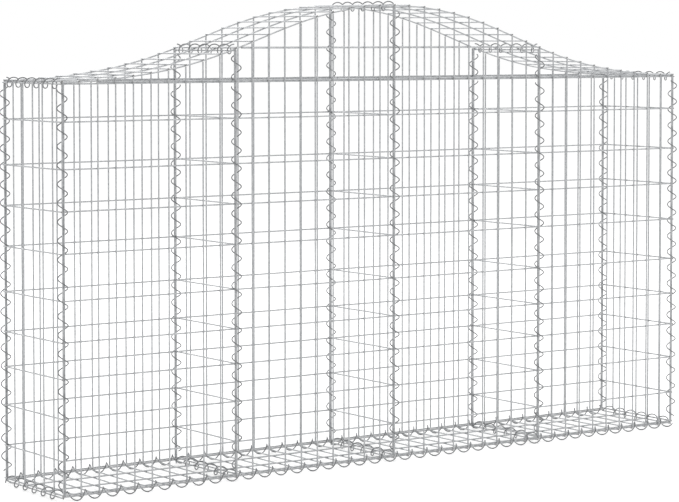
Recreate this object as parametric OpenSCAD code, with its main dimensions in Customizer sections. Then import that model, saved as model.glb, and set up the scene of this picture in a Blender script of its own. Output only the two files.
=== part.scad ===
// Arched gabion wall basket, empty, made of welded mesh panels laced with spiral binders.
// X runs along the wall, Y through its width, Z up. The origin is under the middle of the
// basket, at the height of the lowest spiral turns, which are what it stands on.

/* [Basket] */
// Length between the middles of the two end panels
basket_length = 2000; // [1700:10:2400]
// Width between the middles of the front and back meshes
basket_width = 300; // [260:10:400]
// Height of the straight sides
side_height = 1000; // [900:10:1200]
// Rise of the arched lid above the sides
arch_rise = 193; // [150:1:240]
// How far the flanks of the arch are drawn in towards its crown
arch_flank = 0.06; // [0:0.01:0.08]

/* [Mesh] */
// Diameter of the mesh wires
wire_d = 4; // [3:0.5:4.5]
// Heights of the level wires, as shares of the side height
row_shares = [0.0837, 0.1866, 0.283, 0.372, 0.473, 0.5875, 0.6904, 0.793, 0.908];
// Upright wires between the edges of one bay
bay_wires = 9; // [7:1:11]
// Upright wires between the edges of an end panel
end_wires = 5; // [3:1:6]
// Height of the level wire in the arch meshes, above the sides
arch_row = 86; // [70:1:110]

/* [Spiral binders] */
// Outer diameter of a spiral
coil_d = 27.5; // [26:0.5:30]
// Diameter of the spiral's wire
coil_wire = 3; // [2.5:0.25:3.5]
// Pitch of the upright spirals on a basket 1 m high; a higher one stretches them
upright_pitch = 45.8; // [44:0.1:48]
// Pitch of the spirals across the width
cross_pitch = 46.8; // [44:0.2:52]

/* [Hidden] */
zinc = [0.66, 0.67, 0.68];
coil_zinc = [0.52, 0.53, 0.55];

// Wires are square bars of about the same section, sunk into each other where they are welded
section_share = 0.886;
bar = wire_d * section_share;
half = bar / 2;
weld = 0.5;
lid_weld = 0.8;

// Clearances between panels that rest on each other, stand at a corner or pass in the arch
rest_gap = 0.05;
corner_gap = 1.1;
arch_gap = 0.25;
end_top_gap = 0.3;
partition_top_gaps = [0.65, 0.1, 0.65];

// Planes of the panels' wires
bay = basket_length / 4;
end_x = basket_length / 2;
face_y = basket_width / 2;
row_y = face_y - bar + weld;
end_row_x = end_x + bar - weld;
edge_x = end_x - bar - corner_gap;
floor_z = -bar - corner_gap;
floor_cross_z = floor_z - bar + weld;
spring_z = side_height + bar + rest_gap;
lid_cross_over = bar - lid_weld;
under_lid = bar + arch_gap;
partition_y = row_y - bar - rest_gap;
rung_over = bar - weld;
levels = concat([0], [for (s = row_shares) s * side_height], [side_height]);

// Spacing of the uprights: shares of a bay and of the width that their gaps take up
wire_spread = 0.9072;
wire_step = bay * wire_spread / bay_wires;
end_spread = 0.8433;
end_step = basket_width * end_spread / end_wires;
line_y = basket_width / 6;

// Arch: where its flanks are drawn in most, how fine it is, and the step of a search along it
arch_skew = 1.3;
arch_steps = 64;
arch_search = 2;

// Spirals: a turn's sides, half the sides of the wire's section, and the axes
coil_steps = 6;
coil_side = 360 / coil_steps;
coil_section = 0.46;
coil_r = (coil_d - coil_wire) / 2;
coil_half_r = coil_wire / 2;
coil_half_s = coil_wire * coil_section;
coil_in_y = 1;
corner_in_x = 0.5;
partition_out_x = 2.5;
line_out_x = 1;
end_axis_x = end_x + 1.15;
base_axis_z = -3;
base_axis_y = face_y - coil_in_y;
base_coil_r = coil_d / 2 / cos(coil_side / 2) - coil_half_r;
base_turns_a_bay = 10;
base_pitch = bay / base_turns_a_bay;
lid_axis_over = -0.7;
lid_end_axis_over = 1;
lift = coil_d / 2 - base_axis_z;

// The upright spirals are stretched with the level wires, so that they keep clear of them
spiral_height = 1000;
stretch = side_height / spiral_height;
fitted_pitch = upright_pitch * stretch;

// Where each spiral passes through the meshes that it laces, and where it starts and stops
corner_turns = [[33, 29], [29, 33]] * stretch;
partition_turn = 20.5 * stretch;
upper_turn = spring_z + 4.9;
base_turn_share = 0.198;
base_turn = base_turn_share * base_pitch;
floor_turns = [9.9, 9, 9, 9, 13.5];
lid_turns = [-10.5, -11.1, 8.4, -12.3, -12.9];
coil_low = 16;
coil_high = side_height - 12;
upper_low = upper_turn - fitted_pitch / 12 - 0.1;
upper_under = 18;
base_reach = end_x - 4;
floor_reach = face_y - 19;
lid_reach = face_y - 10;

// Rise of the arch at a distance x from the middle of the wall
function arch_share(t) = t + arch_flank * pow(sin(180 * pow(t, arch_skew)), 2);
function arch_at(x) = arch_rise * (1 + cos(180 * arch_share(min(1, abs(x) / end_x)))) / 2;
function arch_z(x) = spring_z + arch_at(x);

// Places of the upright wires of one bay, from its left end
function bay_places(k) = [
    for (j = [0 : bay_wires - 1]) (k - 1.5) * bay + (j - (bay_wires - 1) / 2) * wire_step
];
// Places of every wire across the width, edges and partition lines included
function cross_places() = concat(
    [for (k = [0 : 3]) each bay_places(k)],
    [for (k = [-2 : 2]) k * bay]
);
function end_places() = concat(
    [for (j = [0 : end_wires - 1]) (j - (end_wires - 1) / 2) * end_step],
    [-face_y, face_y]
);
// Ends of each bay's level wires: the partition lines' wires belong to the middle bays
function bay_ends(k, outer) = [
    k == 0 ? -outer : (k == 3 ? bay + half : (k - 2) * bay + (k == 1 ? -half : half)),
    k == 3 ? outer : (k == 0 ? -bay - half : (k - 1) * bay + half)
];

// A straight square bar between two corners given by its middle line
module bar_x(x0, x1, y, z) {
    translate([x0, y - half, z - half]) cube([x1 - x0, bar, bar]);
}
module bar_y(x, y0, y1, z) {
    translate([x - half, y0, z - half]) cube([bar, y1 - y0, bar]);
}
module bar_z(x, y, z0, z1) {
    translate([x - half, y - half, z0]) cube([bar, bar, z1 - z0]);
}

// One bay of a long mesh: uprights outside, level wires inside, welded where they cross.
// The wires on the partition lines belong to the two middle bays.
module long_mesh(side, bay_no) {
    ends = bay_ends(bay_no, edge_x + half);
    y_face = side * face_y;
    y_row = side * row_y;
    edges = [
        if (bay_no == 0) -edge_x,
        if (bay_no == 1) -bay,
        if (bay_no == 1) 0,
        if (bay_no == 2) bay,
        if (bay_no == 3) edge_x
    ];
    union() {
        for (x = concat(bay_places(bay_no), edges)) bar_z(x, y_face, -half, side_height + half);
        for (z = levels) bar_x(ends[0], ends[1], y_row, z);
    }
}

// End panel: uprights inside, level wires outside
module end_mesh(side) {
    inner_top = spring_z - half - end_top_gap;
    union() {
        for (y = end_places())
            bar_z(side * end_x, y, -half, abs(y) < row_y ? inner_top : side_height + half);
        for (z = levels) bar_y(side * end_row_x, -face_y - half, face_y + half, z);
    }
}

module floor_mesh() {
    union() {
        for (y = [-row_y, -line_y, line_y, row_y]) bar_x(-end_x - half, end_x + half, y, floor_z);
        for (x = cross_places()) bar_y(x, -row_y - half, row_y + half, floor_cross_z);
    }
}

// A band of wire that follows the arch between two places along the wall
module arch_band(ends) {
    n = arch_steps / 4;
    places = [for (i = [0 : n]) ends[0] + (ends[1] - ends[0]) * i / n];
    up = [for (i = [0 : n]) [places[i], arch_z(places[i]) + half]];
    down = [for (i = [n : -1 : 0]) [places[i], arch_z(places[i]) - half]];
    rotate([90, 0, 0]) linear_extrude(height = bar, center = true) polygon(concat(up, down));
}

// One bay of the lid: four curved wires with the cross wires on top of them
module lid_mesh(bay_no) {
    ends = bay_ends(bay_no, end_x + half);
    edges = [
        if (bay_no == 0) -end_x,
        if (bay_no == 1) -bay,
        if (bay_no == 1) 0,
        if (bay_no == 2) bay,
        if (bay_no == 3) end_x
    ];
    union() {
        for (y = [-row_y, -line_y, line_y, row_y])
            translate([0, y, 0]) arch_band(ends);
        for (x = concat(bay_places(bay_no), edges))
            bar_y(x, -face_y - half, face_y + half, arch_z(x) + lid_cross_over);
    }
}

// How far from the middle the arch still rises more than a given height
function arch_reach(rise, x = 0) =
    arch_at(x + arch_search) < rise ? x : arch_reach(rise, x + arch_search);
// Top of an upright that stands under the lid's curved wire
function under_arch(x) = min(arch_z(x - half), arch_z(x + half)) - half - arch_gap;

// Mesh that fills the arch between the side and the lid's curved edge wire: a bottom wire, one
// level wire above it and uprights outside, cut off under the lid
module arch_mesh(side) {
    row_z = side_height + arch_row;
    base_reach = arch_reach(under_lid);
    row_reach = arch_reach(row_z - spring_z + under_lid);
    union() {
        bar_x(-base_reach, base_reach, side * row_y, spring_z);
        bar_x(-row_reach, row_reach, side * row_y, row_z);
        for (x = cross_places())
            if (abs(x) < base_reach)
                bar_z(x, side * face_y, spring_z - half, under_arch(x));
    }
}

// Partition: two edge wires with a rung at every level, up to the underside of the lid
module partition_mesh(place) {
    x = place * bay;
    rung_x = x + rung_over;
    lid_z = min(arch_z(x), arch_z(rung_x));
    top_z = lid_z - under_lid - partition_top_gaps[place + 1];
    rungs = concat(levels, place == 0 ? [side_height + arch_row, top_z] : [top_z]);
    union() {
        for (side = [-1, 1]) bar_z(x, side * partition_y, -half, top_z + half);
        for (z = rungs) bar_y(rung_x, -partition_y - half, partition_y + half, z);
    }
}

// Left-hand spiral about the Z axis. The turn is at the angle phase at the height s0, and one
// of its corners points towards the angle outward.
module coil(s0, phase, outward, from, to, pitch, r = coil_r) {
    step = pitch / coil_steps;
    part = (phase - outward) / coil_side - floor((phase - outward) / coil_side);
    first = ceil((from - s0) / step - part) + part;
    count = floor((to - s0) / step - first);
    corners = [
        [coil_half_r, -coil_half_s], [coil_half_r, coil_half_s],
        [-coil_half_r, coil_half_s], [-coil_half_r, -coil_half_s]
    ];
    points = [
        for (i = [0 : count])
            let (a = phase - coil_side * (first + i), s = s0 + step * (first + i))
                for (c = corners) [(r + c[0]) * cos(a), (r + c[0]) * sin(a), s + c[1]]
    ];
    walls = [
        for (i = [0 : count - 1])
            for (k = [0 : 3])
                let (p = 4 * i + k, q = 4 * i + (k + 1) % 4)
                    each [[p, p + 4, q + 4], [p, q + 4, q]]
    ];
    last = 4 * count;
    caps = [[0, 1, 2], [0, 2, 3], [last, last + 2, last + 1], [last, last + 3, last + 2]];
    polyhedron(points, concat(walls, caps));
}

module upright_coil(x, y, s0, phase, outward, from, to) {
    translate([x, y, 0]) coil(s0, phase, outward, from, to, fitted_pitch);
}
// Spiral along X: angle 0 is its underside and 90 its side towards +Y
module length_coil(y, z, s0, phase, from, to, r) {
    translate([0, y, z]) rotate([0, 90, 0])
        coil(s0, phase, coil_side / 2, from, to, base_pitch, r);
}
// Spiral along Y: angle 0 is its side towards +X and 90 its underside
module cross_coil(x, z, s0, outward, reach) {
    translate([x, 0, z]) rotate([-90, 0, 0]) coil(s0, 0, outward, -reach, reach, cross_pitch);
}

module corner_coil(end, side) {
    phase = end < 0 ? (side < 0 ? 90 : 0) : (side < 0 ? 180 : -90);
    turn = corner_turns[end < 0 ? 0 : 1][side < 0 ? 0 : 1];
    x = end * (end_x - corner_in_x);
    upright_coil(x, side * base_axis_y, turn, phase, side * 90, coil_low, coil_high);
}

module partition_coils(place, side) {
    x = place * bay + partition_out_x;
    phase = side < 0 ? 180 : 0;
    upright_coil(x, side * row_y, partition_turn, phase, side * 90, coil_low, coil_high);
    upright_coil(x, side * row_y, upper_turn, phase, side * 90, upper_low, arch_z(x) - upper_under);
}

module base_coil(side) {
    s0 = side < 0 ? base_turn : -base_turn;
    length_coil(side * base_axis_y, base_axis_z, s0, 180, -base_reach, base_reach, base_coil_r);
}

// Places of the spirals across the width: outside the ends, and just past each partition
function cross_axis(place) = abs(place) == 2 ? sign(place) * end_axis_x : place * bay + line_out_x;

module floor_coil(place) {
    outward = abs(place) == 2 ? 0 : 90;
    cross_coil(cross_axis(place), base_axis_z, floor_turns[place + 2], outward, floor_reach);
}

module lid_coil(place) {
    x = cross_axis(place);
    z = abs(place) == 2 ? side_height + lid_end_axis_over : arch_z(x) + lid_axis_over;
    outward = abs(place) == 2 ? 0 : 90;
    cross_coil(x, z, lid_turns[place + 2], outward, lid_reach);
}

module shown(tint) {
    color(tint) translate([0, 0, lift]) children();
}

shown(zinc) long_mesh(-1, 0);  // front_mesh_bay_1
shown(zinc) long_mesh(-1, 1);  // front_mesh_bay_2
shown(zinc) long_mesh(-1, 2);  // front_mesh_bay_3
shown(zinc) long_mesh(-1, 3);  // front_mesh_bay_4
shown(zinc) long_mesh(1, 0);  // back_mesh_bay_1
shown(zinc) long_mesh(1, 1);  // back_mesh_bay_2
shown(zinc) long_mesh(1, 2);  // back_mesh_bay_3
shown(zinc) long_mesh(1, 3);  // back_mesh_bay_4
shown(zinc) end_mesh(-1);  // end_mesh_left
shown(zinc) end_mesh(1);  // end_mesh_right
shown(zinc) floor_mesh();
shown(zinc) lid_mesh(0);  // lid_mesh_bay_1
shown(zinc) lid_mesh(1);  // lid_mesh_bay_2
shown(zinc) lid_mesh(2);  // lid_mesh_bay_3
shown(zinc) lid_mesh(3);  // lid_mesh_bay_4
shown(zinc) arch_mesh(-1);  // front_arch_mesh
shown(zinc) arch_mesh(1);  // back_arch_mesh
shown(zinc) partition_mesh(-1);  // partition_1
shown(zinc) partition_mesh(0);  // partition_2
shown(zinc) partition_mesh(1);  // partition_3
shown(coil_zinc) corner_coil(-1, -1);  // corner_coil_front_left
shown(coil_zinc) corner_coil(1, -1);  // corner_coil_front_right
shown(coil_zinc) corner_coil(-1, 1);  // corner_coil_back_left
shown(coil_zinc) corner_coil(1, 1);  // corner_coil_back_right
shown(coil_zinc) partition_coils(-1, -1);  // partition_coils_front_1
shown(coil_zinc) partition_coils(0, -1);  // partition_coils_front_2
shown(coil_zinc) partition_coils(1, -1);  // partition_coils_front_3
shown(coil_zinc) partition_coils(-1, 1);  // partition_coils_back_1
shown(coil_zinc) partition_coils(0, 1);  // partition_coils_back_2
shown(coil_zinc) partition_coils(1, 1);  // partition_coils_back_3
shown(coil_zinc) base_coil(-1);  // base_coil_front
shown(coil_zinc) base_coil(1);  // base_coil_back
shown(coil_zinc) floor_coil(-2);  // floor_coil_left
shown(coil_zinc) floor_coil(-1);  // floor_coil_1
shown(coil_zinc) floor_coil(0);  // floor_coil_2
shown(coil_zinc) floor_coil(1);  // floor_coil_3
shown(coil_zinc) floor_coil(2);  // floor_coil_right
shown(coil_zinc) lid_coil(-2);  // lid_coil_left
shown(coil_zinc) lid_coil(-1);  // lid_coil_1
shown(coil_zinc) lid_coil(0);  // lid_coil_2
shown(coil_zinc) lid_coil(1);  // lid_coil_3
shown(coil_zinc) lid_coil(2);  // lid_coil_right
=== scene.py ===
"""Arched gabion wall basket in round galvanised wire, on a plain white studio floor.

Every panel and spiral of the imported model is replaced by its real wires: welded round bars
with a bead at each crossing, and true helices of spring wire that lace the panels together.
"""

import logging
import math
import random
from dataclasses import dataclass, field
from enum import Enum, IntEnum

import bpy
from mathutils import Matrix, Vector


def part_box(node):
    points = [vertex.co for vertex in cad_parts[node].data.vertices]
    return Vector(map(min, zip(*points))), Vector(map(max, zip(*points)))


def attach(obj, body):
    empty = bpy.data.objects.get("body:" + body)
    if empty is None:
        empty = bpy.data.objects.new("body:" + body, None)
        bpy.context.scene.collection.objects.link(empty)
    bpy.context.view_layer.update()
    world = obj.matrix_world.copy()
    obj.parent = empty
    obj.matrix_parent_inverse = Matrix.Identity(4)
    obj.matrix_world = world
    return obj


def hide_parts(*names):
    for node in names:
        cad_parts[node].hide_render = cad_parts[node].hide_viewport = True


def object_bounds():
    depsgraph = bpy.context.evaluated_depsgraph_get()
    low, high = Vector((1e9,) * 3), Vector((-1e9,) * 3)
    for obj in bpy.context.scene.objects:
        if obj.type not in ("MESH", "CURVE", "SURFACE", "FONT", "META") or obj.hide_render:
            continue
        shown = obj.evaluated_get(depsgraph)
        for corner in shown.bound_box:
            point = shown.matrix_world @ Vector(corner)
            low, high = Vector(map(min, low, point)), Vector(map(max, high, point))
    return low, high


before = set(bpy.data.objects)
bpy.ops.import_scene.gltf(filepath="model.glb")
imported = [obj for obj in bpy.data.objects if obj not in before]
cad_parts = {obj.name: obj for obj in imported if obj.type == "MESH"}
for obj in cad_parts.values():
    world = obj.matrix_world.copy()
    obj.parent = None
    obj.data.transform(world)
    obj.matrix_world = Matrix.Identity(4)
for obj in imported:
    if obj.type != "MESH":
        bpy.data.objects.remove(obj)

CAD_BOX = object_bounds()
BODY = "root"
MM = 0.001
LOG = logging.getLogger("gabion_wall")

Colour = tuple[float, float, float]
Point = tuple[float, float, float]


class Side(IntEnum):
    """The long side of the basket that a piece stands on, as the sign of its Y."""

    FRONT = -1
    BACK = 1


class End(IntEnum):
    """The short end of the basket that a piece stands at, as the sign of its X."""

    LEFT = -1
    RIGHT = 1


class Run(Enum):
    """The way that a spiral's axis runs."""

    UPRIGHT = "up"
    LENGTHWAYS = "along"
    ACROSS = "across"


class Slot(Enum):
    """The record's material slots."""

    MESH = "mesh_wire"
    SPIRAL = "spiral_wire"


class Surface(IntEnum):
    """The finishes on one piece, in the order of its material slots."""

    WIRE = 0
    WELD = 1
    CUT = 2


class MixInput(IntEnum):
    """Places of a Mix node's inputs when it blends colours."""

    SHARE = 0
    FIRST = 6
    SECOND = 7


MIX_RESULT = 2

# ---------------------------------------------------------------- shader expressions


class Number:
    """A number socket that Python expressions add Math nodes to."""

    def __init__(self, tree: "Tree", socket: bpy.types.NodeSocket) -> None:
        """Wraps one output socket.

        Args:
            tree: the node tree that the socket belongs to.
            socket: the output socket.
        """
        self.tree = tree
        self.socket = socket

    def _joined(self, operation: str, first: object, second: object) -> "Number":
        """Adds one Math node.

        Args:
            operation: the Math node's operation.
            first: its first value or link.
            second: its second value or link.

        Returns:
            The node's result.
        """
        made = self.tree.add("ShaderNodeMath", {"operation": operation}, {0: first, 1: second})
        return Number(self.tree, made.outputs[0])

    def __add__(self, other: object) -> "Number":
        """The sum."""
        return self._joined("ADD", self, other)

    def __radd__(self, other: object) -> "Number":
        """The sum, with a plain number first."""
        return self._joined("ADD", other, self)

    def __sub__(self, other: object) -> "Number":
        """The difference."""
        return self._joined("SUBTRACT", self, other)

    def __rsub__(self, other: object) -> "Number":
        """The difference from a plain number."""
        return self._joined("SUBTRACT", other, self)

    def __mul__(self, other: object) -> "Number":
        """The product."""
        return self._joined("MULTIPLY", self, other)

    def __rmul__(self, other: object) -> "Number":
        """The product, with a plain number first."""
        return self._joined("MULTIPLY", other, self)

    def at_most(self, other: object) -> "Number":
        """The smaller of the two."""
        return self._joined("MINIMUM", self, other)

    def at_least(self, other: object) -> "Number":
        """The larger of the two."""
        return self._joined("MAXIMUM", self, other)

    def past(self, start: float, width: float) -> "Number":
        """A soft step.

        Args:
            start: the value at which the step leaves 0.
            width: how much further it reaches 1.

        Returns:
            The step, from 0 to 1.
        """
        return ((self - start) * (1.0 / width)).at_least(0.0).at_most(1.0)


class Tree:
    """A node tree that is filled one node at a time."""

    def __init__(self, nodes: bpy.types.NodeTree) -> None:
        """Empties the tree.

        Args:
            nodes: the node tree of a material or a world.
        """
        self.nodes = nodes
        nodes.nodes.clear()

    def add(self, kind: str, settings: dict | None = None, sockets: dict | None = None) -> bpy.types.Node:
        """Adds one node, with its settings set before its sockets.

        Args:
            kind: the node's type.
            settings: its properties.
            sockets: a value, a link or a Number for each input, by name or place.

        Returns:
            The node.
        """
        made = self.nodes.nodes.new(kind)
        for name, value in (settings or {}).items():
            setattr(made, name, value)
        for name, value in (sockets or {}).items():
            self._feed(made.inputs[name], value)
        return made

    def _feed(self, socket: bpy.types.NodeSocket, value: object) -> None:
        """Sets or links one input.

        Args:
            socket: the input.
            value: a Number, an output socket or a plain value.
        """
        if isinstance(value, Number):
            value = value.socket
        if isinstance(value, bpy.types.NodeSocket):
            self.nodes.links.new(value, socket)
        else:
            socket.default_value = value

    def number(self, node: bpy.types.Node, name: str) -> Number:
        """One output of a node as a Number."""
        return Number(self, node.outputs[name])

    def blend(self, share: object, first: object, second: object) -> bpy.types.NodeSocket:
        """Blends two colours.

        Args:
            share: how much of the second colour shows.
            first: the colour at 0.
            second: the colour at 1.

        Returns:
            The blended colour.
        """
        sockets = {MixInput.SHARE: share, MixInput.FIRST: first, MixInput.SECOND: second}
        made = self.add("ShaderNodeMix", {"data_type": "RGBA"}, sockets)
        return made.outputs[MIX_RESULT]


def opaque(colour: Colour) -> tuple[float, float, float, float]:
    """The colour with full alpha."""
    return (*colour, 1.0)


# ---------------------------------------------------------------- finishes


@dataclass(frozen=True)
class ZincCoat:
    """Hot-dipped zinc on drawn wire: spangles, paler bloom, a few dull spots and fine grain."""

    name: str
    bright: Colour
    dull: Colour
    bloom: Colour
    metal: float
    gloss_roughness: float
    bloom_roughness: float
    bloom_metal_loss: float = 0.35
    spangles_per_m: float = 210.0
    patches_per_m: float = 34.0
    patch_layers: float = 3.0
    spots_per_patch: float = 3.1
    spot_layers: float = 1.0
    grain_per_m: float = 1500.0
    grain_layers: float = 2.0
    layer_share: float = 0.55
    bloom_start: float = 0.53
    bloom_width: float = 0.16
    bloom_share: float = 0.5
    spot_start: float = 0.66
    spot_width: float = 0.07
    spot_share: float = 0.35
    facet_roughness: float = 0.07
    grain_roughness: float = 0.06
    facet_relief: float = 0.35
    grain_depth: float = 0.12 * MM
    grain_strength: float = 0.22

    def material(self) -> bpy.types.Material:
        """Makes the material.

        Returns:
            The finished material.
        """
        made = bpy.data.materials.new(self.name)
        made.use_nodes = True
        tree = Tree(made.node_tree)
        place = tree.add("ShaderNodeTexCoord").outputs["Object"]
        spangle = tree.add(
            "ShaderNodeTexVoronoi",
            {"feature": "F1"},
            {"Vector": place, "Scale": self.spangles_per_m, "Randomness": 1.0},
        )
        parted = tree.add("ShaderNodeSeparateColor", None, {"Color": spangle.outputs["Color"]})
        facet = tree.number(parted, "Red")
        spots_per_m = self.patches_per_m * self.spots_per_patch
        patch = self._cloud(tree, place, self.patches_per_m, self.patch_layers)
        spots = self._cloud(tree, place, spots_per_m, self.spot_layers)
        grain = self._cloud(tree, place, self.grain_per_m, self.grain_layers)
        bloom = patch.past(self.bloom_start, self.bloom_width) * self.bloom_share
        spot = spots.past(self.spot_start, self.spot_width) * self.spot_share
        facets = tree.blend(facet, opaque(self.dull), opaque(self.bright))
        bloomed = tree.blend(bloom, facets, opaque(self.bloom))
        spotted = tree.blend(spot, bloomed, opaque(self.dull))
        spread = self.bloom_roughness - self.gloss_roughness
        base = self.gloss_roughness + bloom * spread
        rough = base + facet * self.facet_roughness + grain * self.grain_roughness
        bump = tree.add(
            "ShaderNodeBump",
            None,
            {
                "Strength": self.grain_strength,
                "Distance": self.grain_depth,
                "Height": grain + facet * self.facet_relief,
            },
        )
        shader = tree.add(
            "ShaderNodeBsdfPrincipled",
            None,
            {
                "Base Color": spotted,
                "Metallic": self.metal - bloom * self.bloom_metal_loss,
                "Roughness": rough,
                "Normal": bump.outputs["Normal"],
            },
        )
        tree.add("ShaderNodeOutputMaterial", None, {"Surface": shader.outputs["BSDF"]})
        return made

    def _cloud(self, tree: Tree, place: bpy.types.NodeSocket, scale: float, layers: float) -> Number:
        """Adds a noise texture.

        Args:
            tree: the material's tree.
            place: the coordinates to read.
            scale: the noise's scale, per metre.
            layers: how many finer layers it has.

        Returns:
            The noise, around a half.
        """
        sockets = {
            "Vector": place,
            "Scale": scale,
            "Detail": layers,
            "Roughness": self.layer_share,
        }
        return tree.number(tree.add("ShaderNodeTexNoise", None, sockets), "Fac")


@dataclass(frozen=True)
class Finishes:
    """The three coats of one kind of wire: its run, its welds and its cut ends."""

    wire: ZincCoat
    weld: ZincCoat
    cut: ZincCoat

    def materials(self) -> list[bpy.types.Material]:
        """The materials, in the order of Surface."""
        return [coat.material() for coat in (self.wire, self.weld, self.cut)]


MESH_COAT = ZincCoat(
    name="mesh_zinc",
    bright=(0.5, 0.509, 0.516),
    dull=(0.37, 0.38, 0.392),
    bloom=(0.58, 0.589, 0.597),
    metal=0.9,
    gloss_roughness=0.3,
    bloom_roughness=0.62,
)
WELD_COAT = ZincCoat(
    name="weld_zinc",
    bright=(0.5, 0.505, 0.51),
    dull=(0.36, 0.365, 0.37),
    bloom=(0.6, 0.605, 0.61),
    metal=0.85,
    gloss_roughness=0.42,
    bloom_roughness=0.7,
    bloom_share=0.35,
    grain_strength=0.4,
)
SPIRAL_COAT = ZincCoat(
    name="spiral_zinc",
    bright=(0.23, 0.235, 0.24),
    dull=(0.15, 0.155, 0.16),
    bloom=(0.32, 0.325, 0.33),
    metal=0.95,
    gloss_roughness=0.24,
    bloom_roughness=0.5,
    spangles_per_m=260.0,
    bloom_share=0.35,
)
CUT_COAT = ZincCoat(
    name="cut_steel",
    bright=(0.3, 0.295, 0.29),
    dull=(0.2, 0.19, 0.18),
    bloom=(0.42, 0.41, 0.4),
    metal=0.8,
    gloss_roughness=0.5,
    bloom_roughness=0.75,
)


# ---------------------------------------------------------------- sizes


@dataclass(frozen=True)
class BasketSizes:
    """The basket's sizes in metres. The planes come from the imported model's own boxes."""

    lift: float
    end_x: float
    face_y: float
    side_height: float
    spring: float
    arch_rise: float
    wire_d: float = 4.0 * MM
    bar: float = 3.544 * MM
    weld: float = 0.5 * MM
    lid_weld: float = 0.8 * MM
    rest_gap: float = 0.05 * MM
    corner_gap: float = 1.1 * MM
    edge_gap: float = 0.1 * MM
    arch_gap: float = 0.25 * MM
    arch_flank: float = 0.06
    arch_skew: float = 1.3
    arch_search_steps: int = 24
    bays: int = 4
    bay_wires: int = 9
    end_wires: int = 5
    line_gaps: int = 3
    wire_spread: float = 0.9072
    end_spread: float = 0.8433
    row_shares: tuple[float, ...] = (
        0.0837, 0.1866, 0.283, 0.372, 0.473, 0.5875, 0.6904, 0.793, 0.908,
    )
    arch_row: float = 86.0 * MM
    coil_d: float = 27.5 * MM
    coil_wire: float = 3.0 * MM

    @classmethod
    def from_frame(cls) -> "BasketSizes":
        """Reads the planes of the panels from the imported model.

        Returns:
            The basket's sizes.
        """
        half = cls.bar / 2
        low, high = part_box("front_mesh_bay_1")
        arch_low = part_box("front_arch_mesh")[0]
        lid_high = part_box("lid_mesh_bay_2")[1]
        end_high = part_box("end_mesh_left")[1]
        lift = low.z + half
        cross_over = cls.bar - cls.lid_weld
        return cls(
            lift=lift,
            end_x=-(end_high.x - half),
            face_y=-(low.y + half),
            side_height=high.z - half - lift,
            spring=arch_low.z + half - lift,
            arch_rise=lid_high.z - half - cross_over - (arch_low.z + half),
        )

    @property
    def half(self) -> float:
        """Half the thickness of a packed bar."""
        return self.bar / 2

    @property
    def bay(self) -> float:
        """Length of one bay."""
        return 2 * self.end_x / self.bays

    @property
    def row_y(self) -> float:
        """Distance of the level wires' middle from the middle of the wall."""
        return self.face_y - self.bar + self.weld

    @property
    def end_row_x(self) -> float:
        """Distance of the end panels' level wires from the middle."""
        return self.end_x + self.bar - self.weld

    @property
    def edge_x(self) -> float:
        """Distance of the long meshes' edge uprights from the middle."""
        return self.end_x - self.wire_d - self.edge_gap

    @property
    def cross_over(self) -> float:
        """Height of the lid's cross wires above its curved ones."""
        return self.bar - self.lid_weld

    @property
    def under_lid(self) -> float:
        """How far below the lid's curved wires the middle of a wire under them lies."""
        return self.bar + self.arch_gap

    @property
    def levels(self) -> list[float]:
        """Heights of the level wires above the lowest one."""
        return [0.0, *(share * self.side_height for share in self.row_shares), self.side_height]

    @property
    def lines(self) -> tuple[float, ...]:
        """The Y of the four long wires of the floor and of the lid."""
        inner = self.face_y / self.line_gaps
        return (-self.row_y, -inner, inner, self.row_y)

    @property
    def coil_r(self) -> float:
        """Radius of a spiral's middle line."""
        return (self.coil_d - self.coil_wire) / 2

    def arch_at(self, x: float) -> float:
        """Rise of the arch.

        Args:
            x: the distance from the middle of the wall.

        Returns:
            How far the arch stands above its springing line there.
        """
        along = min(1.0, abs(x) / self.end_x)
        drawn = along + self.arch_flank * math.sin(math.pi * along**self.arch_skew) ** 2
        return self.arch_rise * (1 + math.cos(math.pi * drawn)) / 2

    def arch_z(self, x: float) -> float:
        """Height of the lid's curved wires at x."""
        return self.spring + self.arch_at(x)

    def under_arch(self, x: float) -> float:
        """Top of an upright that stands under the lid's curved wire.

        Args:
            x: the distance from the middle of the wall.

        Returns:
            Its height.
        """
        lowest = min(self.arch_z(x - self.half), self.arch_z(x + self.half))
        return lowest - self.half - self.arch_gap

    def reach_above(self, rise: float) -> float:
        """How far from the middle the arch still rises more than a given height.

        Args:
            rise: the height above the springing line.

        Returns:
            The distance.
        """
        low, high = 0.0, self.end_x
        for _ in range(self.arch_search_steps):
            middle = (low + high) / 2
            if self.arch_at(middle) > rise:
                low = middle
            else:
                high = middle
        return low

    def bay_places(self, bay_no: int) -> list[float]:
        """Places of one bay's uprights, edges left out.

        Args:
            bay_no: the bay, from 0 at the left.

        Returns:
            The X of each upright.
        """
        step = self.bay * self.wire_spread / self.bay_wires
        middle = (bay_no - (self.bays - 1) / 2) * self.bay
        return [middle + (j - (self.bay_wires - 1) / 2) * step for j in range(self.bay_wires)]

    def partition_places(self) -> list[float]:
        """Places of the lines between bays."""
        return [(k - self.bays / 2) * self.bay for k in range(1, self.bays)]

    def cross_places(self) -> list[float]:
        """Places of every wire across the width, ends and partition lines included."""
        inner = [x for bay_no in range(self.bays) for x in self.bay_places(bay_no)]
        return sorted([*inner, *self.partition_places(), -self.end_x, self.end_x])

    def end_places(self) -> list[float]:
        """Places of an end panel's uprights across the width, edges included.

        Returns:
            The Y of each upright.
        """
        step = 2 * self.face_y * self.end_spread / self.end_wires
        inner = [(j - (self.end_wires - 1) / 2) * step for j in range(self.end_wires)]
        return [-self.face_y, *inner, self.face_y]

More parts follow.
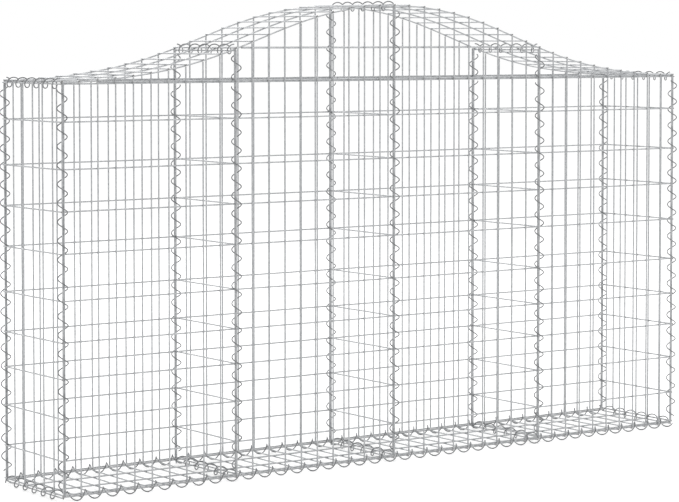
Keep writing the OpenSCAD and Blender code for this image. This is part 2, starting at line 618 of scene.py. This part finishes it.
    def bay_span(self, bay_no: int, outer: float) -> tuple[float, float]:
        """Ends of one bay's level wires, which take in the uprights that the bay owns.

        Args:
            bay_no: the bay, from 0 at the left.
            outer: where the wires of the outer bays stop.

        Returns:
            The left and the right end.
        """
        first, *others = self.partition_places()
        ends = [-outer, first - self.half, *(line + self.half for line in others), outer]
        return ends[bay_no], ends[bay_no + 1]

    def bay_edges(self, bay_no: int, outer: float) -> list[float]:
        """Uprights on the edges of one bay: the partition lines belong to the middle bays.

        Args:
            bay_no: the bay, from 0 at the left.
            outer: the distance of the outermost upright from the middle.

        Returns:
            The X of each.
        """
        left, right = self.bay_span(bay_no, outer + self.half)
        return [x for x in (-outer, *self.partition_places(), outer) if left < x < right]


# ---------------------------------------------------------------- wire work


# Rise of a unit heading from which it counts as upright
STEEP = 0.7


@dataclass
class WireWork:
    """A growing mesh of round wires with cut ends, and of weld beads."""

    sizes: BasketSizes
    seed: int
    points: list[Vector] = field(default_factory=list)
    faces: list[tuple[int, ...]] = field(default_factory=list)
    surfaces: list[int] = field(default_factory=list)
    sides: int = 10
    chamfer: float = 0.35 * MM
    longest_inset: float = 1 / 3
    sway: float = 0.22 * MM
    sway_waves: tuple[float, float] = (0.8, 1.7)
    step: float = 0.1
    fewest_steps: int = 2
    bead_ring: int = 8
    bead_widths: tuple[float, float] = (0.62, 0.72)
    bead_depths: tuple[float, float] = (0.3, 0.4)
    bead_tilts: tuple[float, ...] = (-50.0, 0.0, 50.0)
    sharp_angle: float = 42.0

    def __post_init__(self) -> None:
        """Starts the draws that bend the wires a little."""
        self.draws = random.Random(self.seed)

    def straight(self, start: Point, end: Point) -> None:
        """Adds a straight wire that sways a hair between its welds.

        Args:
            start: one end, above the lowest level wire.
            end: the other end.
        """
        first, last = Vector(start), Vector(end)
        length = (last - first).length
        count = max(self.fewest_steps, math.ceil(length / self.step))
        aside, across = self._square_to((last - first).normalized())
        aside_sway = aside * (self.draws.uniform(-1.0, 1.0) * self.sway)
        across_sway = across * (self.draws.uniform(-1.0, 1.0) * self.sway)
        waves = self.draws.uniform(*self.sway_waves) * count
        path = []
        for i in range(count + 1):
            share = i / count
            bow = math.sin(math.pi * share) * math.sin(math.pi * waves * share / 2)
            path.append(first.lerp(last, share) + (aside_sway + across_sway) * bow)
        self.wire(path, self.sizes.wire_d / 2)

    def wire(self, path: list[Vector], radius: float, sides: int | None = None) -> None:
        """Adds a round wire along a path, with its ends cut square and a chamfer on the cut.

        Args:
            path: the points of its middle line.
            radius: its radius.
            sides: how many sides its section has.
        """
        count = sides or self.sides
        lift = Vector((0.0, 0.0, self.sizes.lift))
        headings = self._headings(path)
        aside = self._square_to(headings[0])[0]
        rings = [(path[0], headings[0], radius - self.chamfer)]
        inset = min(self.chamfer, (path[1] - path[0]).length * self.longest_inset)
        rings.append((path[0] + headings[0] * inset, headings[0], radius))
        rings += [(path[i], headings[i], radius) for i in range(1, len(path) - 1)]
        rings.append((path[-1] - headings[-1] * inset, headings[-1], radius))
        rings.append((path[-1], headings[-1], radius - self.chamfer))
        start = len(self.points)
        for place, heading, size in rings:
            aside = (aside - heading * aside.dot(heading)).normalized()
            across = heading.cross(aside)
            for k in range(count):
                angle = math.tau * k / count
                spoke = aside * math.cos(angle) + across * math.sin(angle)
                self.points.append(place + spoke * size + lift)
        last = len(rings) - 1
        for i in range(last):
            cut = Surface.CUT if i in (0, last - 1) else Surface.WIRE
            for k in range(count):
                low, high = start + i * count, start + (i + 1) * count
                near = (k + 1) % count
                self._face((low + k, low + near, high + near, high + k), cut)
        self._face(tuple(start + k for k in reversed(range(count))), Surface.CUT)
        self._face(tuple(start + last * count + k for k in range(count)), Surface.CUT)

    def bead(self, centre: Point, thin: Point) -> None:
        """Adds the bead of metal squeezed out where two wires are welded.

        Args:
            centre: its middle, above the lowest level wire.
            thin: the axis through both wires, as 0s and a 1.
        """
        wide = self.sizes.wire_d * self.draws.uniform(*self.bead_widths)
        flat = self.sizes.wire_d * self.draws.uniform(*self.bead_depths)
        axis = Vector(thin)
        aside, across = self._square_to(axis)
        middle = Vector(centre) + Vector((0.0, 0.0, self.sizes.lift))
        start = len(self.points)
        self.points.append(middle - axis * flat)
        for tilt in self.bead_tilts:
            reach = math.cos(math.radians(tilt)) * wide
            rise = math.sin(math.radians(tilt)) * flat
            for k in range(self.bead_ring):
                angle = math.tau * (k + 0.5) / self.bead_ring
                spoke = aside * math.cos(angle) + across * math.sin(angle)
                self.points.append(middle + spoke * reach + axis * rise)
        self.points.append(middle + axis * flat)
        top = len(self.points) - 1
        rings = [start + 1 + ring * self.bead_ring for ring in range(len(self.bead_tilts))]
        for k in range(self.bead_ring):
            near = (k + 1) % self.bead_ring
            self._face((start, rings[0] + near, rings[0] + k), Surface.WELD)
            for low, high in zip(rings, rings[1:]):
                self._face((low + k, low + near, high + near, high + k), Surface.WELD)
            self._face((rings[-1] + k, rings[-1] + near, top), Surface.WELD)

    def _face(self, corners: tuple[int, ...], surface: Surface) -> None:
        """Adds one face with its surface."""
        self.faces.append(corners)
        self.surfaces.append(int(surface))

    @staticmethod
    def _headings(path: list[Vector]) -> list[Vector]:
        """The direction of a path at each of its points.

        Args:
            path: the points.

        Returns:
            A unit vector for each point.
        """
        last = len(path) - 1
        return [
            (path[min(i + 1, last)] - path[max(i - 1, 0)]).normalized() for i in range(last + 1)
        ]

    @staticmethod
    def _square_to(heading: Vector) -> tuple[Vector, Vector]:
        """Two unit vectors square to a heading and to each other.

        Args:
            heading: a unit vector.

        Returns:
            The two vectors.
        """
        guide = Vector((0.0, 0.0, 1.0)) if abs(heading.z) < STEEP else Vector((0.0, 1.0, 0.0))
        aside = heading.cross(guide).normalized()
        return aside, heading.cross(aside)

    def piece(self, name: str, materials: list[bpy.types.Material]) -> bpy.types.Object:
        """Turns what has been added into one object.

        Args:
            name: the object's name.
            materials: its materials, in the order of Surface.

        Returns:
            The object, already in the scene.
        """
        mesh = bpy.data.meshes.new(name)
        mesh.from_pydata([tuple(point) for point in self.points], [], self.faces)
        for material in materials:
            mesh.materials.append(material)
        mesh.polygons.foreach_set("material_index", self.surfaces)
        mesh.shade_smooth()
        mesh.set_sharp_from_angle(angle=math.radians(self.sharp_angle))
        mesh.validate()
        mesh.update()
        made = bpy.data.objects.new(name, mesh)
        bpy.context.scene.collection.objects.link(made)
        return made


# ---------------------------------------------------------------- sub-assemblies


@dataclass
class SubAssembly:
    """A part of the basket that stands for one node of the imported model."""

    sizes: BasketSizes
    node: str
    slot: Slot = Slot.MESH
    suffix: str = "_wires"

    def shape(self, work: WireWork) -> None:
        """Adds the wires to the work. Each sub-assembly has its own way."""
        raise NotImplementedError

    def build(self, materials: list[bpy.types.Material], seed: int) -> bpy.types.Object:
        """Makes the piece, dresses it and puts it in place of its node.

        Args:
            materials: the piece's materials, in the order of Surface.
            seed: the start of its small bends.

        Returns:
            The piece.
        """
        work = WireWork(self.sizes, seed)
        self.shape(work)
        made = work.piece(self.node + self.suffix, materials)
        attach(made, BODY)
        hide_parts(self.node)
        return made


@dataclass
class LongMesh(SubAssembly):
    """One bay of a long side: uprights outside, level wires inside."""

    side: Side = Side.FRONT
    bay_no: int = 0

    def shape(self, work: WireWork) -> None:
        """Adds the uprights, the level wires and their welds.

        Args:
            work: the mesh to add to.
        """
        sizes = self.sizes
        half = sizes.half
        face, row = self.side * sizes.face_y, self.side * sizes.row_y
        left, right = sizes.bay_span(self.bay_no, sizes.edge_x + half)
        places = sizes.bay_places(self.bay_no) + sizes.bay_edges(self.bay_no, sizes.edge_x)
        for x in places:
            work.straight((x, face, -half), (x, face, sizes.side_height + half))
        for z in sizes.levels:
            work.straight((left, row, z), (right, row, z))
        for x in places:
            for z in sizes.levels:
                work.bead((x, (face + row) / 2, z), (0, 1, 0))


@dataclass
class EndMesh(SubAssembly):
    """An end panel: uprights inside, level wires outside."""

    end: End = End.LEFT
    top_gap: float = 0.3 * MM

    def shape(self, work: WireWork) -> None:
        """Adds the uprights, the level wires and their welds.

        Args:
            work: the mesh to add to.
        """
        sizes = self.sizes
        half = sizes.half
        x, row = self.end * sizes.end_x, self.end * sizes.end_row_x
        for y in sizes.end_places():
            inner = abs(y) < sizes.row_y
            top = sizes.spring - half - self.top_gap if inner else sizes.side_height + half
            work.straight((x, y, -half), (x, y, top))
        reach = sizes.face_y + half
        for z in sizes.levels:
            work.straight((row, -reach, z), (row, reach, z))
            for y in sizes.end_places():
                work.bead(((x + row) / 2, y, z), (1, 0, 0))


@dataclass
class FloorMesh(SubAssembly):
    """The floor: four wires along the wall with the cross wires under them."""

    def shape(self, work: WireWork) -> None:
        """Adds the long wires, the cross wires and their welds.

        Args:
            work: the mesh to add to.
        """
        sizes = self.sizes
        half = sizes.half
        line_z = -sizes.bar - sizes.corner_gap
        cross_z = line_z - sizes.bar + sizes.weld
        for y in sizes.lines:
            work.straight((-sizes.end_x - half, y, line_z), (sizes.end_x + half, y, line_z))
        for x in sizes.cross_places():
            work.straight((x, -sizes.row_y - half, cross_z), (x, sizes.row_y + half, cross_z))
            for y in sizes.lines:
                work.bead((x, y, (line_z + cross_z) / 2), (0, 0, 1))


@dataclass
class LidMesh(SubAssembly):
    """One bay of the arched lid: four curved wires with the cross wires on top."""

    bay_no: int = 0
    arch_steps: int = 20

    def shape(self, work: WireWork) -> None:
        """Adds the curved wires, the cross wires and their welds.

        Args:
            work: the mesh to add to.
        """
        sizes = self.sizes
        half = sizes.half
        left, right = sizes.bay_span(self.bay_no, sizes.end_x + half)
        spots = [left + (right - left) * i / self.arch_steps for i in range(self.arch_steps + 1)]
        for y in sizes.lines:
            path = [Vector((x, y, sizes.arch_z(x))) for x in spots]
            work.wire(path, sizes.wire_d / 2)
        reach = sizes.face_y + half
        for x in sizes.bay_places(self.bay_no) + sizes.bay_edges(self.bay_no, sizes.end_x):
            top = sizes.arch_z(x) + sizes.cross_over
            work.straight((x, -reach, top), (x, reach, top))
            for y in sizes.lines:
                work.bead((x, y, top - sizes.cross_over / 2), (0, 0, 1))


@dataclass
class ArchMesh(SubAssembly):
    """The mesh between a long side and the lid: uprights that stand on a bottom wire."""

    side: Side = Side.FRONT

    def shape(self, work: WireWork) -> None:
        """Adds the bottom wire, the level wire, the uprights and their welds.

        Args:
            work: the mesh to add to.
        """
        sizes = self.sizes
        half = sizes.half
        face, row = self.side * sizes.face_y, self.side * sizes.row_y
        level = sizes.side_height + sizes.arch_row
        base_reach = sizes.reach_above(sizes.under_lid)
        level_reach = sizes.reach_above(level - sizes.spring + sizes.under_lid)
        work.straight((-base_reach, row, sizes.spring), (base_reach, row, sizes.spring))
        work.straight((-level_reach, row, level), (level_reach, row, level))
        middle = (face + row) / 2
        for x in sizes.cross_places():
            if abs(x) > base_reach:
                continue
            work.straight((x, face, sizes.spring - half), (x, face, sizes.under_arch(x)))
            work.bead((x, middle, sizes.spring), (0, 1, 0))
            if abs(x) < level_reach:
                work.bead((x, middle, level), (0, 1, 0))


@dataclass
class Partition(SubAssembly):
    """A partition: two edge wires with a rung at every level, and one more under the crown."""

    x: float = 0.0
    at_crown: bool = False
    flank_gap: float = 0.65 * MM
    crown_gap: float = 0.1 * MM

    def shape(self, work: WireWork) -> None:
        """Adds the edge wires, the rungs and their welds.

        Args:
            work: the mesh to add to.
        """
        sizes = self.sizes
        half = sizes.half
        edge_y = sizes.row_y - sizes.bar - sizes.rest_gap
        rung_x = self.x + sizes.bar - sizes.weld
        lid = min(sizes.arch_z(self.x), sizes.arch_z(rung_x))
        gap = self.crown_gap if self.at_crown else self.flank_gap
        top = lid - sizes.under_lid - gap
        rungs = [*sizes.levels, top]
        if self.at_crown:
            rungs.append(sizes.side_height + sizes.arch_row)
        for y in (-edge_y, edge_y):
            work.straight((self.x, y, -half), (self.x, y, top + half))
        for z in rungs:
            work.straight((rung_x, -edge_y - half, z), (rung_x, edge_y + half, z))
            for y in (-edge_y, edge_y):
                work.bead(((self.x + rung_x) / 2, y, z), (1, 0, 0))


@dataclass
class Stretch:
    """One helix: where its axis is, where a known turn is, and how far it runs."""

    run: Run
    axis: tuple[float, float]
    turn: float
    phase: float
    start: float
    stop: float
    pitch: float


@dataclass
class Spiral(SubAssembly):
    """A spiral binder of spring wire, wound left-handed, in one or two stretches."""

    slot: Slot = Slot.SPIRAL
    suffix: str = "_spiral"
    stretches: list[Stretch] = field(default_factory=list)
    steps: int = 28
    sides: int = 8

    def shape(self, work: WireWork) -> None:
        """Adds each stretch.

        Args:
            work: the mesh to add to.
        """
        for stretch in self.stretches:
            step = stretch.pitch / self.steps
            count = math.ceil((stretch.stop - stretch.start) / step)
            along = [
                stretch.start + (stretch.stop - stretch.start) * i / count for i in range(count + 1)
            ]
            path = [self._point(stretch, s) for s in along]
            work.wire(path, self.sizes.coil_wire / 2, self.sides)

    def _point(self, stretch: Stretch, s: float) -> Vector:
        """One point of the helix.

        Args:
            stretch: the helix.
            s: the distance along its axis.

        Returns:
            The point, above the lowest level wire.
        """
        angle = math.radians(stretch.phase) - math.tau * (s - stretch.turn) / stretch.pitch
        aside = self.sizes.coil_r * math.cos(angle)
        across = self.sizes.coil_r * math.sin(angle)
        first, second = stretch.axis
        if stretch.run is Run.UPRIGHT:
            return Vector((first + aside, second + across, s))
        if stretch.run is Run.LENGTHWAYS:
            return Vector((s, first + across, second - aside))
        return Vector((first + aside, s, second - across))


# Degrees round its axis at which each spiral's known turn passes the wire that it laces
CORNER_PHASES = {
    (End.LEFT, Side.FRONT): 90.0,
    (End.LEFT, Side.BACK): 0.0,
    (End.RIGHT, Side.FRONT): 180.0,
    (End.RIGHT, Side.BACK): -90.0,
}
PARTITION_PHASES = {Side.FRONT: 180.0, Side.BACK: 0.0}
BASE_PHASE = 180.0
ACROSS_PHASE = 0.0
LINE_NAMES = ("left", "1", "2", "3", "right")


@dataclass
class Binders:
    """Places every spiral on the edges that it laces.

    Every turn value is where along its axis a spiral passes a wire. The two lists go from the
    line at the left end to the line at the right end.
    """

    sizes: BasketSizes
    upright_pitch: float = 45.8 * MM
    cross_pitch: float = 46.8 * MM
    base_turns_a_bay: int = 10
    in_y: float = 1.0 * MM
    corner_in_x: float = 0.5 * MM
    partition_out_x: float = 2.5 * MM
    line_out_x: float = 1.0 * MM
    end_out_x: float = 1.15 * MM
    base_axis_z: float = -3.0 * MM
    lid_axis_over: float = -0.7 * MM
    lid_end_axis_over: float = 1.0 * MM
    corner_turn: float = 33.0 * MM
    other_corner_turn: float = 29.0 * MM
    partition_turn: float = 20.5 * MM
    upper_turn_rise: float = 4.9 * MM
    upper_lead: float = 1 / 12
    base_turn: float = 9.9 * MM
    floor_turns_mm: tuple[float, ...] = (9.9, 9.0, 9.0, 9.0, 13.5)
    lid_turns_mm: tuple[float, ...] = (-10.5, -11.1, 8.4, -12.3, -12.9)
    low: float = 16.0 * MM
    top_gap: float = 12.0 * MM
    upper_gap: float = 18.0 * MM
    base_stop: float = 4.0 * MM
    floor_stop: float = 19.0 * MM
    lid_stop: float = 10.0 * MM

    def corner(self, end: End, side: Side) -> Spiral:
        """The upright spiral of one corner.

        Args:
            end: the end of the basket.
            side: the side of the basket.

        Returns:
            The spiral.
        """
        phase = CORNER_PHASES[end, side]
        turn = self.corner_turn if end * side > 0 else self.other_corner_turn
        axis = (end * (self.sizes.end_x - self.corner_in_x), side * (self.sizes.face_y - self.in_y))
        high = self.sizes.side_height - self.top_gap
        helix = Stretch(Run.UPRIGHT, axis, turn, phase, self.low, high, self.upright_pitch)
        node = f"corner_coil_{side.name.lower()}_{end.name.lower()}"
        return Spiral(self.sizes, node, stretches=[helix])

    def partition(self, number: int, side: Side) -> Spiral:
        """The two spirals that lace a partition to one side and to the arch above it.

        Args:
            number: the partition, from 1 at the left.
            side: the side of the basket.

        Returns:
            Both spirals as one piece.
        """
        sizes = self.sizes
        x = sizes.partition_places()[number - 1] + self.partition_out_x
        axis = (x, side * sizes.row_y)
        phase = PARTITION_PHASES[side]
        pitch = self.upright_pitch
        high = sizes.side_height - self.top_gap
        upper = sizes.spring + self.upper_turn_rise
        start = upper - pitch * self.upper_lead
        stop = sizes.arch_z(x) - self.upper_gap
        lower_helix = Stretch(Run.UPRIGHT, axis, self.partition_turn, phase, self.low, high, pitch)
        upper_helix = Stretch(Run.UPRIGHT, axis, upper, phase, start, stop, pitch)
        node = f"partition_coils_{side.name.lower()}_{number}"
        return Spiral(sizes, node, stretches=[lower_helix, upper_helix])

    def base(self, side: Side) -> Spiral:
        """The spiral along the foot of one side.

        Args:
            side: the side of the basket.

        Returns:
            The spiral.
        """
        axis = (side * (self.sizes.face_y - self.in_y), self.base_axis_z)
        reach = self.sizes.end_x - self.base_stop
        pitch = self.sizes.bay / self.base_turns_a_bay
        turn = -side * self.base_turn
        helix = Stretch(Run.LENGTHWAYS, axis, turn, BASE_PHASE, -reach, reach, pitch)
        return Spiral(self.sizes, f"base_coil_{side.name.lower()}", stretches=[helix])

    def across(self, place: int, on_lid: bool) -> Spiral:
        """A spiral across the width, under the floor or over the lid.

        Args:
            place: the line it follows, from 0 at the left end to 4 at the right end.
            on_lid: whether it laces the lid and not the floor.

        Returns:
            The spiral.
        """
        sizes = self.sizes
        at_end = place in (0, sizes.bays)
        line = (place - sizes.bays / 2) * sizes.bay
        x = line + (math.copysign(self.end_out_x, line) if at_end else self.line_out_x)
        if on_lid:
            ends = sizes.side_height + self.lid_end_axis_over
            z = ends if at_end else sizes.arch_z(x) + self.lid_axis_over
            turn, stop = self.lid_turns_mm[place] * MM, self.lid_stop
        else:
            z = self.base_axis_z
            turn, stop = self.floor_turns_mm[place] * MM, self.floor_stop
        reach = sizes.face_y - stop
        helix = Stretch(Run.ACROSS, (x, z), turn, ACROSS_PHASE, -reach, reach, self.cross_pitch)
        node = f"{'lid' if on_lid else 'floor'}_coil_{LINE_NAMES[place]}"
        return Spiral(sizes, node, stretches=[helix])

    def all(self) -> list[Spiral]:
        """Every spiral of the basket.

        Returns:
            The upright spirals first, then those at the base and those across the width.
        """
        corners = [self.corner(end, side) for side in Side for end in End]
        partitions = [self.partition(n, side) for side in Side for n in range(1, self.sizes.bays)]
        bases = [self.base(side) for side in Side]
        lines = range(self.sizes.bays + 1)
        crossing = [self.across(place, lid) for lid in (False, True) for place in lines]
        return corners + partitions + bases + crossing


def panels(sizes: BasketSizes) -> list[SubAssembly]:
    """Every welded panel of the basket.

    Args:
        sizes: the basket's sizes.

    Returns:
        The panels, the long sides first.
    """
    made: list[SubAssembly] = []
    for side in Side:
        for bay_no in range(sizes.bays):
            node = f"{side.name.lower()}_mesh_bay_{bay_no + 1}"
            made.append(LongMesh(sizes, node, side=side, bay_no=bay_no))
    for end in End:
        made.append(EndMesh(sizes, f"end_mesh_{end.name.lower()}", end=end))
    made.append(FloorMesh(sizes, "floor_mesh"))
    for bay_no in range(sizes.bays):
        made.append(LidMesh(sizes, f"lid_mesh_bay_{bay_no + 1}", bay_no=bay_no))
    for side in Side:
        made.append(ArchMesh(sizes, f"{side.name.lower()}_arch_mesh", side=side))
    for number, x in enumerate(sizes.partition_places(), start=1):
        at_crown = number == sizes.bays / 2
        made.append(Partition(sizes, f"partition_{number}", x=x, at_crown=at_crown))
    return made


# ---------------------------------------------------------------- studio


@dataclass(frozen=True)
class Lamp:
    """A soft square lamp. Its place and width are in metres and its power is in watts."""

    name: str
    place: Point
    width: float
    power: float

    def hang(self, target: Vector) -> None:
        """Hangs the lamp.

        Args:
            target: the point that it faces.
        """
        light = bpy.data.lights.new(self.name, "AREA")
        light.shape = "SQUARE"
        light.size = self.width
        light.energy = self.power
        made = bpy.data.objects.new(self.name, light)
        made.location = self.place
        made.rotation_euler = (target - Vector(self.place)).to_track_quat("-Z", "Y").to_euler()
        bpy.context.scene.collection.objects.link(made)


@dataclass(frozen=True)
class Studio:
    """White floor, white surroundings, soft lamps and the camera.

    The camera's heading and dip are in degrees and its focal length is in millimetres. The
    lens's shifts are shares of the sensor's width.
    """

    floor_reach: float = 60.0
    floor_tone: float = 0.8
    floor_glow: float = 0.4
    room_light: float = 0.82
    camera_place: Point = (-3.8439, -5.3235, 1.1294)
    camera_heading: float = 35.323
    camera_dip: float = 2.484
    focal_length: float = 128.92
    lens_aside: float = -0.00074
    lens_rise: float = -0.15926
    lamps: tuple[Lamp, ...] = (
        Lamp("key_lamp", (-3.2, -4.4, 5.2), 3.0, 45.0),
        Lamp("top_lamp", (6.4, -0.8, 9.0), 8.0, 235.0),
        Lamp("back_lamp", (0.6, 5.4, 4.2), 4.0, 112.0),
    )

    def build(self) -> None:
        """Makes the floor, the surroundings, the lamps and the camera."""
        self._floor()
        self._room()
        low, high = CAD_BOX
        for lamp in self.lamps:
            lamp.hang((low + high) / 2)
        self._camera()
        bpy.context.scene.view_settings.view_transform = "Standard"

    def _shown(self, tree: Tree) -> Number:
        """Whether a ray comes from the camera, from a gloss or through glass.

        Args:
            tree: the node tree that asks.

        Returns:
            1 for such a ray and 0 for any other.
        """
        path = tree.add("ShaderNodeLightPath")
        seen = tree.number(path, "Is Camera Ray").at_least(tree.number(path, "Is Glossy Ray"))
        return seen.at_least(tree.number(path, "Is Transmission Ray"))

    def _floor(self) -> None:
        """Lays the floor, which glows just enough to look white and keeps its shadows."""
        reach = self.floor_reach
        signs = ((-1, -1), (1, -1), (1, 1), (-1, 1))
        corners = [(x * reach, y * reach, 0.0) for x, y in signs]
        mesh = bpy.data.meshes.new("studio_floor")
        mesh.from_pydata(corners, [], [(0, 1, 2, 3)])
        floor = bpy.data.objects.new("studio_floor", mesh)
        bpy.context.scene.collection.objects.link(floor)
        coat = bpy.data.materials.new("floor_white")
        coat.use_nodes = True
        tree = Tree(coat.node_tree)
        tone = opaque((self.floor_tone,) * 3)
        matt = tree.add("ShaderNodeBsdfDiffuse", None, {"Color": tone})
        glow = tree.add("ShaderNodeEmission", None, {"Strength": self._shown(tree) * self.floor_glow})
        both = tree.add("ShaderNodeAddShader", None, {0: matt.outputs[0], 1: glow.outputs[0]})
        tree.add("ShaderNodeOutputMaterial", None, {"Surface": both.outputs[0]})
        mesh.materials.append(coat)

    def _room(self) -> None:
        """Sets the surroundings: white to the eye and in reflections, softer as light."""
        world = bpy.data.worlds.new("studio_room")
        world.use_nodes = True
        tree = Tree(world.node_tree)
        strength = self._shown(tree) * (1.0 - self.room_light) + self.room_light
        sky = tree.add("ShaderNodeBackground", None, {"Color": opaque((1.0,) * 3), "Strength": strength})
        tree.add("ShaderNodeOutputWorld", None, {"Surface": sky.outputs[0]})
        bpy.context.scene.world = world

    def _camera(self) -> None:
        """Sets up the camera, level across and dipped a little."""
        lens = bpy.data.cameras.new("camera")
        lens.lens = self.focal_length
        lens.shift_x = self.lens_aside
        lens.shift_y = self.lens_rise
        lens.clip_end = 2 * self.floor_reach
        camera = bpy.data.objects.new("camera", lens)
        camera.location = self.camera_place
        camera.rotation_euler = (
            math.radians(90.0 - self.camera_dip),
            0.0,
            math.radians(-self.camera_heading),
        )
        bpy.context.scene.collection.objects.link(camera)
        bpy.context.scene.camera = camera


def main() -> None:
    """Builds the basket's panels and spirals, then the studio."""
    logging.basicConfig(level=logging.INFO, format="%(message)s")
    sizes = BasketSizes.from_frame()
    mesh_coats = Finishes(MESH_COAT, WELD_COAT, CUT_COAT).materials()
    spiral_coats = Finishes(SPIRAL_COAT, WELD_COAT, CUT_COAT).materials()
    parts = panels(sizes) + Binders(sizes).all()
    for seed, part in enumerate(parts):
        coats = mesh_coats if part.slot is Slot.MESH else spiral_coats
        made = part.build(coats, seed)
        LOG.info("%s: %d faces", made.name, len(made.data.polygons))
    Studio().build()
    bpy.context.view_layer.update()


if __name__ == "__main__":
    main()
